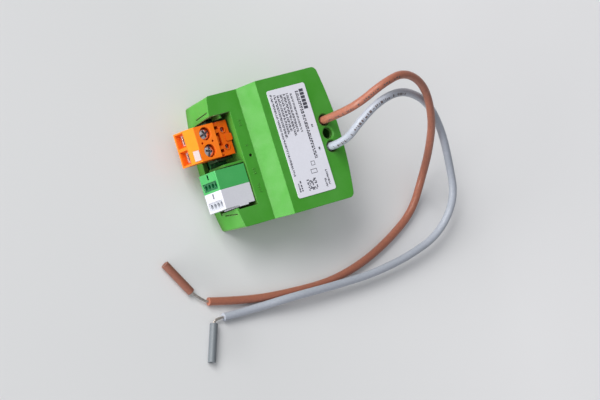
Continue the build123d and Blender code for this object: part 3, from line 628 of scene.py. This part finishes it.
def rounded_copy(node, body, width, segments=2):
    """Mesh of a moulded node with its sharp edges rounded off, standing for the node."""
    piece = new_piece(f"{node}_moulded", body, materials[slots[node]], node)
    work = bmesh.new()
    work.from_mesh(nodes[node].data)
    bmesh.ops.remove_doubles(work, verts=work.verts, dist=join_distance)
    flat = math.radians(flat_angle)
    bmesh.ops.dissolve_limit(work, angle_limit=flat, verts=work.verts, edges=work.edges)
    limit = math.radians(round_from_angle)
    for convex, reach, steps in ((True, width, segments), (False, inner_round_share * width, 1)):
        sharp = [edge for edge in work.edges if edge.calc_face_angle(0) > limit]
        bmesh.ops.bevel(
            work,
            geom=[edge for edge in sharp if edge.is_convex == convex],
            offset=reach,
            offset_type="OFFSET",
            segments=steps,
            profile=round_profile,
            affect="EDGES",
            clamp_overlap=True,
        )
    for face in work.faces:
        face.smooth = True
    fill(piece, work)
    smooth = piece.modifiers.new("weighted", "WEIGHTED_NORMAL")
    smooth.keep_sharp = True
    smooth.weight = large_face_weight
    return piece


def spline_curve(name, route):
    """Smooth curve with the route as its control points, and no thickness."""
    curve = bpy.data.curves.new(name, "CURVE")
    curve.dimensions = "3D"
    spline = curve.splines.new("NURBS")
    spline.points.add(len(route) - 1)
    for point, place in zip(spline.points, route):
        point.co = (*place, 1.0)
        point.radius = lead_diameter / 2
    spline.order_u = 3
    spline.use_endpoint_u = True
    spline.resolution_u = route_steps
    return curve


def line_along(route):
    """Points along the route's smooth curve."""
    curve = spline_curve("route", route)
    holder = bpy.data.objects.new("route", curve)
    mesh = bpy.data.meshes.new_from_object(holder)
    points = [vertex.co.copy() for vertex in mesh.vertices]
    bpy.data.objects.remove(holder)
    bpy.data.curves.remove(curve)
    bpy.data.meshes.remove(mesh)
    return points


def carried_frames(points):
    """Distance, place and two cross directions at each point, carried along without a twist."""
    frames = []
    distance = 0.0
    across = None
    for index, place in enumerate(points):
        before = points[max(index - 1, 0)]
        ahead = (points[min(index + 1, len(points) - 1)] - before).normalized()
        if across is None:
            across = ahead.orthogonal()
        across = (across - ahead * across.dot(ahead)).normalized()
        distance += (place - before).length
        frames.append((distance, place, across, ahead.cross(across)))
    return frames


def around(across, over, angle):
    """Direction at an angle from the first of two cross directions towards the second."""
    return across * math.cos(angle) + over * math.sin(angle)


def add_tube(work, points, radius, sides):
    """Closed round tube along the points."""
    rings = []
    for _, place, across, over in carried_frames(points):
        ring = []
        for index in range(sides):
            out = around(across, over, math.tau * index / sides)
            ring.append(work.verts.new(place + out * radius))
        rings.append(ring)
    for ring, after in zip(rings, rings[1:]):
        for index in range(sides):
            other = (index + 1) % sides
            work.faces.new((ring[index], ring[other], after[other], after[index]))
    work.faces.new(rings[0])
    work.faces.new(rings[-1])


def add_strands(name):
    """Seven strands laid round each other along the bare conductor."""
    slot = "conductor_copper"
    piece = new_piece(f"{name}_strands", "housing", materials[slot], f"{name}_conductor")
    frames = carried_frames(line_along(conductor_routes[name]))
    work = bmesh.new()
    add_tube(work, [place for _, place, _, _ in frames], strand_diameter / 2, strand_sides)
    for strand in range(outer_strands):
        points = []
        for distance, place, across, over in frames:
            out = around(across, over, math.tau * (strand / outer_strands + distance / strand_lay))
            points.append(place + out * strand_diameter * strand_centre_share)
        add_tube(work, points, strand_diameter / 2, strand_sides)
    fill(piece, work, strand_crease)
    return piece


# Print on the leads: the side it faces, how many degrees round it reaches, where it starts and stops,
# and the seed of its dashes
lead_prints = {
    "brown": (Vector((-0.45, -0.42, 0.79)), 14, 3 * MM, 31 * MM, 5),
    "grey": (Vector((-0.5, -0.35, 0.8)), 18, 2 * MM, 36 * MM, 4),
}
print_thickness = 0.006 * MM
print_steps = 4
# Dashes to draw from: lengths and gaps in millimetres, and shares of the reach
lead_dash_lengths = (0.2, 0.3, 0.5, 0.7)
lead_dash_gaps = (0.25, 0.4, 0.4, 1.6)
lead_dash_reaches = (1.0, 1.0, 0.3)


def place_at(frames, distance):
    """Place and direction of a line at a distance along it."""
    for before, after in zip(frames, frames[1:]):
        if after[0] >= distance:
            share = (distance - before[0]) / (after[0] - before[0])
            return before[1].lerp(after[1], share), (after[1] - before[1]).normalized()
    return frames[-1][1], (frames[-1][1] - frames[-2][1]).normalized()


def add_shell(work, outer, inner):
    """Thin closed shell between two grids of points."""
    borders = []
    for grid in (outer, inner):
        sheet = [[work.verts.new(point) for point in row] for row in grid]
        for row, after in zip(sheet, sheet[1:]):
            for index in range(len(row) - 1):
                work.faces.new((row[index], row[index + 1], after[index + 1], after[index]))
        sides = [row[-1] for row in sheet[1:-1]], [row[0] for row in sheet[-2:0:-1]]
        borders.append(sheet[0] + sides[0] + sheet[-1][::-1] + sides[1])
    count = len(borders[0])
    for index in range(count):
        other = (index + 1) % count
        work.faces.new((borders[0][index], borders[0][other], borders[1][other], borders[1][index]))


def add_lead_print(name):
    """Row of plain printed dashes along the first stretch of a lead."""
    facing, reach, start, stop, seed = lead_prints[name]
    piece = new_piece(f"{name}_lead_print", "housing", lead_ink)
    frames = carried_frames(line_along(lead_routes[name]))
    draw = random.Random(seed)
    work = bmesh.new()
    at = start
    while at < stop:
        length = draw.choice(lead_dash_lengths) * MM
        low_angle = -reach * draw.choice(lead_dash_reaches)
        high_angle = reach * draw.choice(lead_dash_reaches)
        grids = []
        for radius in (lead_diameter / 2 + print_thickness, lead_diameter / 2 - print_thickness):
            grid = []
            for step in range(print_steps + 1):
                place, ahead = place_at(frames, at + length * step / print_steps)
                out = (facing - ahead * facing.dot(ahead)).normalized()
                over = ahead.cross(out)
                row = []
                for turn in range(print_steps + 1):
                    angle = math.radians(low_angle + (high_angle - low_angle) * turn / print_steps)
                    row.append(place + around(out, over, angle) * radius)
                grid.append(row)
            grids.append(grid)
        add_shell(work, *grids)
        at += length + draw.choice(lead_dash_gaps) * MM
    fill(piece, work, print_crease)
    return piece


def add_leads():
    """Each lead as one smooth tube, with its bare strands, loose end sleeve and print."""
    for name, route in lead_routes.items():
        curve = spline_curve(f"{name}_lead_cable", route)
        curve.bevel_depth = 1.0
        curve.bevel_resolution = lead_round_steps
        curve.use_fill_caps = True
        curve.materials.append(materials[f"lead_{name}"])
        lead = bpy.data.objects.new(f"{name}_lead_cable", curve)
        bpy.context.scene.collection.objects.link(lead)
        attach(lead, "housing")
        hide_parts(f"{name}_lead")
        sleeve = rounded_copy(f"{name}_end_sleeve", "housing", sleeve_rounding)
        # The sleeve takes its lead's darker copy, painted shade
        sleeve.data.materials[0] = sleeve_shaded_copies[name]
        add_strands(name)
        add_lead_print(name)


# Terminal screws: a domed head with a slot and a short cross, over a threaded shank
screw_head_height = 0.9 * MM
screw_dome = 0.5 * MM
screw_rim = 0.16 * MM
screw_shank_radius = 1.2 * MM
screw_slot_width = 0.6 * MM
screw_slot_depth = 0.6 * MM
screw_slot_length = 4 * screw_shank_radius
# Faces that take the slots' painted shade: floors within this height, walls this near upright, and none at
# the rim
slot_tolerance = 0.01 * MM
slot_wall_slope = 0.1
slot_reach_share = 0.97
screw_cross_length = 2.2 * MM
screw_slot_angles = (20, 75)
screw_sides = 48
thread_pitch = 0.5 * MM
thread_depth = 0.13 * MM
thread_steps = 6
dome_shares = (0.14, 0.28, 0.42, 0.56, 0.7, 0.82, 0.92)


def screw_rings(low, high, radius):
    """Height and radii of each ring of the screw, from the crown down to the tip."""
    even = [1.0] * screw_sides
    rings = [(high - screw_dome * share**2, [radius * share for _ in even]) for share in dome_shares]
    seat = high - screw_head_height
    rim = high - screw_dome - screw_rim
    for height, wide in ((rim, radius), (seat, radius), (seat, screw_shank_radius)):
        rings.append((height, [wide for _ in even]))
    height = seat
    root = screw_shank_radius - thread_depth
    while height - thread_pitch / thread_steps > low:
        height -= thread_pitch / thread_steps
        radii = []
        for index in range(screw_sides):
            phase = (height / thread_pitch + index / screw_sides) % 1
            radii.append(root + thread_depth * abs(2 * phase - 1))
        rings.append((height, radii))
    rings.append((low, [root for _ in even]))
    return rings


def add_screw(number, slot_angle):
    """Domed screw with a slot and a short cross, standing for one terminal screw."""
    node = f"terminal_screw_{number}"
    low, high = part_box(node)
    centre = (low + high) / 2
    material = screw_metal(f"screw_steel_{number}", centre)
    piece = new_piece(f"{node}_domed", f"screw_{number}", material, node)
    work = bmesh.new()
    crown = work.verts.new((centre.x, centre.y, high.z))
    before = None
    for height, radii in screw_rings(low.z, high.z, (high.x - low.x) / 2):
        ring = []
        for index, radius in enumerate(radii):
            angle = math.tau * index / screw_sides
            place = (centre.x + radius * math.cos(angle), centre.y + radius * math.sin(angle), height)
            ring.append(work.verts.new(place))
        for index in range(screw_sides):
            other = (index + 1) % screw_sides
            upper = (before[other], before[index]) if before else (crown,)
            work.faces.new((ring[index], ring[other], *upper))
        before = ring
    work.faces.new(before)
    fill(piece, work)
    for length, turn in ((screw_slot_length, 0), (screw_cross_length, 90)):
        cut_slot(piece, centre, high.z, length, slot_angle + turn)
    smooth_up_to(piece.data, screw_crease)
    shade_slots(piece.data, centre, high)


def shade_slots(mesh, centre, high):
    """The walls and floors of the slots take the painted shade."""
    mesh.materials.append(slot_shade_finish)
    floor = high.z - screw_slot_depth
    reach = slot_reach_share * (high.x - centre.x)
    for polygon in mesh.polygons:
        middle = polygon.center
        near = math.hypot(middle.x - centre.x, middle.y - centre.y) < reach
        is_wall = abs(polygon.normal.z) < slot_wall_slope and middle.z > floor
        is_floor = abs(middle.z - floor) < slot_tolerance
        if near and (is_wall or is_floor):
            polygon.material_index = 1


def cut_slot(piece, centre, top, length, angle):
    """Cut one straight slot into the screw's head."""
    cutter = bpy.data.objects.new("cutter", bpy.data.meshes.new("cutter"))
    bpy.context.scene.collection.objects.link(cutter)
    work = bmesh.new()
    half = Vector((length / 2, screw_slot_width / 2, screw_slot_depth))
    add_block(work, -half, half)
    place = Matrix.Translation((centre.x, centre.y, top)) @ Matrix.Rotation(math.radians(angle), 4, "Z")
    bmesh.ops.transform(work, matrix=place, verts=work.verts)
    work.to_mesh(cutter.data)
    work.free()
    cut = piece.modifiers.new("slot", "BOOLEAN")
    cut.operation = "DIFFERENCE"
    cut.solver = "EXACT"
    cut.object = cutter
    seen = piece.evaluated_get(bpy.context.evaluated_depsgraph_get())
    mesh = bpy.data.meshes.new_from_object(seen)
    piece.modifiers.remove(cut)
    piece.data = mesh
    bpy.data.objects.remove(cutter)


# Print on the label, in shares of it: place from the near edge, start, end, height and rows of each line
print_lines = (
    (0.745, 0.06, 0.69, 0.085, 2),
    (0.585, 0.07, 0.43, 0.05, 2),
    (0.49, 0.06, 0.42, 0.06, 2),
    (0.41, 0.06, 0.45, 0.06, 2),
    (0.33, 0.06, 0.40, 0.06, 2),
    (0.25, 0.06, 0.42, 0.06, 2),
    (0.165, 0.05, 0.45, 0.06, 2),
    (0.075, 0.04, 0.80, 0.05, 2),
    (0.88, 0.385, 0.415, 0.05, 1),
    (0.89, 0.60, 0.63, 0.05, 1),
    (0.88, 0.81, 0.95, 0.045, 2),
    (0.80, 0.885, 0.965, 0.045, 2),
    (0.16, 0.85, 0.95, 0.04, 1),
    (0.10, 0.87, 0.95, 0.04, 1),
)
dash_shares = (0.008, 0.014, 0.022)
dash_gap_shares = (0.004, 0.006, 0.006, 0.012)
inked_row_share = 0.8
label_seed = 7
# Heading: a row of plain blocks
heading_place_shares = (0.81, 0.05)
heading_height_share = 0.105
heading_blocks = 6
heading_block_share = 0.026
heading_pitch_share = 0.032
# Small boxes: corner places and starts, in the same shares
print_boxes = (
    (0.56, 0.705, 0.66, 0.745),
    (0.50, 0.775, 0.66, 0.815),
)
dot_grid_place_shares = (0.32, 0.855)
print_box_line = 0.16 * MM
dot_pitch = 0.42 * MM
dot_size = 0.9 * dot_pitch
dot_share = 0.55
dot_rows = 8
ink_height = 0.012 * MM


def add_label_print():
    """Plain dashes, a row of heading blocks, two small boxes and a random dot grid: no lettering."""
    low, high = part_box("rating_label")
    size = high - low
    piece = new_piece("label_print", "housing", label_ink)
    work = bmesh.new()
    draw = random.Random(label_seed)

    def patch(x_low, y_high, x_high, y_low):
        add_block(work, Vector((x_low, y_low, high.z)), Vector((x_high, y_high, high.z + ink_height)))

    def place(x_share, y_share):
        return low.x + size.x * x_share, high.y - size.y * y_share

    for middle, start, end, height, rows in print_lines:
        step = height / rows
        for row in range(rows):
            foot = middle - height / 2 + row * step
            at = start
            while at < end:
                stop = min(at + draw.choice(dash_shares), end)
                patch(*place(foot, at), *place(foot + inked_row_share * step, stop))
                at = stop + draw.choice(dash_gap_shares)
    foot, at = heading_place_shares
    for _ in range(heading_blocks):
        patch(*place(foot, at), *place(foot + heading_height_share, at + heading_block_share))
        at += heading_pitch_share
    line = print_box_line
    for x_share, y_share, x_end, y_end in print_boxes:
        x_low, y_high = place(x_share, y_share)
        x_high, y_low = place(x_end, y_end)
        patch(x_low, y_high, x_low + line, y_low)
        patch(x_high - line, y_high, x_high, y_low)
        patch(x_low + line, y_high, x_high - line, y_high - line)
        patch(x_low + line, y_low + line, x_high - line, y_low)
    x_start, y_start = place(*dot_grid_place_shares)
    for row in range(dot_rows):
        for column in range(dot_rows):
            if draw.random() < dot_share:
                x = x_start + row * dot_pitch
                y = y_start - column * dot_pitch
                patch(x, y, x + dot_size, y - dot_size)
    fill(piece, work)


# Small raised marks on the lower deck, one group beside each pole: middle of the group, and its dashes
deck_height = 14.0 * MM
deck_mark_x = -9.3 * MM
deck_mark_groups = ((9.9 * MM, 3), (3.1 * MM, 1), (-4.7 * MM, 3), (-9.8 * MM, 4))
deck_mark_pitch = 0.72 * MM
deck_mark_size = Vector((0.9, 0.26, 0.12)) * MM
deck_mark_foot = 0.1 * MM
deck_mark_short_share = 0.55
deck_mark_rounding = 0.05 * MM


def add_deck_marks():
    """Plain raised dashes, moulded with the cover."""
    piece = new_piece("deck_marks", "housing", materials["housing_green"])
    work = bmesh.new()
    for middle, count in deck_mark_groups:
        for index in range(count):
            y = middle + (index - (count - 1) / 2) * deck_mark_pitch
            reach = deck_mark_size.x / 2 * (1 if index % 2 == 0 else deck_mark_short_share)
            low = Vector((deck_mark_x - reach, y - deck_mark_size.y / 2, deck_height - deck_mark_foot))
            high = Vector((deck_mark_x + reach, y + deck_mark_size.y / 2, deck_height + deck_mark_size.z))
            add_block(work, low, high)
    bmesh.ops.bevel(
        work,
        geom=work.edges[:],
        offset=deck_mark_rounding,
        segments=2,
        profile=round_profile,
        affect="EDGES",
    )
    fill(piece, work, deck_mark_crease)


# Stage: a pale floor that grows paler past the object, seen against a backdrop of the same tone
floor_reach = 4.0
floor_colour = (0.69, 0.70, 0.72, 1.0)
floor_far_colour = (0.80, 0.805, 0.83, 1.0)
floor_paler_from = -0.02
floor_palest_at = 0.08


def add_stage():
    """Pale floor that keeps the object's shadow."""
    mesh = bpy.data.meshes.new("floor")
    corners = [(x * floor_reach, y * floor_reach, 0) for x, y in ((-1, -1), (1, -1), (1, 1), (-1, 1))]
    mesh.from_pydata(corners, [], [(0, 1, 2, 3)])
    floor = bpy.data.objects.new("floor", mesh)
    bpy.context.scene.collection.objects.link(floor)
    material = Material("floor_paper", roughness=0.8, specular=0.2)
    across = material.spread(material.axes()[0], floor_paler_from, floor_palest_at)
    material.set("Base Color", material.mix(across, floor_colour, floor_far_colour))
    mesh.materials.append(material.data)


# Light: a sky that is brighter on the near side
sky_near = 0.55
sky_far = 0.28
sky_colour = (0.97, 0.98, 1.0, 1.0)
window_colour = (1.0, 0.99, 0.96)
# Each window: place, width, height and power. One is broad and the other long and low
windows = (
    ((-1.25, 1.42, 1.49), 1.6, 1.2, 48),
    ((-2.4, 0.08, 0.27), 2.4, 0.5, 58),
)


def add_light():
    """Sky, backdrop that only the camera sees, and two soft windows."""
    world = bpy.data.worlds.new("studio")
    bpy.context.scene.world = world
    world.use_nodes = True
    tree = world.node_tree
    place = tree.nodes.new("ShaderNodeTexCoord")
    axes = tree.nodes.new("ShaderNodeSeparateXYZ")
    tree.links.new(place.outputs["Generated"], axes.inputs[0])
    slope = tree.nodes.new("ShaderNodeMapRange")
    ends = {"From Min": -1.0, "From Max": 1.0, "To Min": sky_near, "To Max": sky_far}
    for socket, value in ends.items():
        slope.inputs[socket].default_value = value
    tree.links.new(axes.outputs["X"], slope.inputs["Value"])
    sky = tree.nodes["Background"]
    sky.inputs["Color"].default_value = sky_colour
    tree.links.new(slope.outputs["Result"], sky.inputs["Strength"])
    backdrop = tree.nodes.new("ShaderNodeBackground")
    backdrop.inputs["Color"].default_value = floor_colour
    seen = tree.nodes.new("ShaderNodeLightPath")
    choice = tree.nodes.new("ShaderNodeMixShader")
    tree.links.new(seen.outputs["Is Camera Ray"], choice.inputs["Fac"])
    tree.links.new(sky.outputs[0], choice.inputs[1])
    tree.links.new(backdrop.outputs[0], choice.inputs[2])
    tree.links.new(choice.outputs[0], tree.nodes["World Output"].inputs["Surface"])
    for window_place, width, height, power in windows:
        data = bpy.data.lights.new("window", "AREA")
        data.shape = "RECTANGLE"
        data.size = width
        data.size_y = height
        data.energy = power
        data.color = window_colour
        lamp = bpy.data.objects.new("window", data)
        lamp.location = window_place
        lamp.rotation_euler = (-Vector(window_place)).to_track_quat("-Z", "Y").to_euler()
        lamp.visible_camera = False
        bpy.context.scene.collection.objects.link(lamp)


add_camera()
dress_cad_nodes()
add_leads()
for node, (body, width) in moulded.items():
    rounded_copy(node, body, width)
for number, slot_angle in enumerate(screw_slot_angles, start=1):
    add_screw(number, slot_angle)
add_label_print()
add_deck_marks()
add_stage()
add_light()
bpy.context.scene.view_settings.view_transform = "Standard"

bpy.context.view_layer.update()
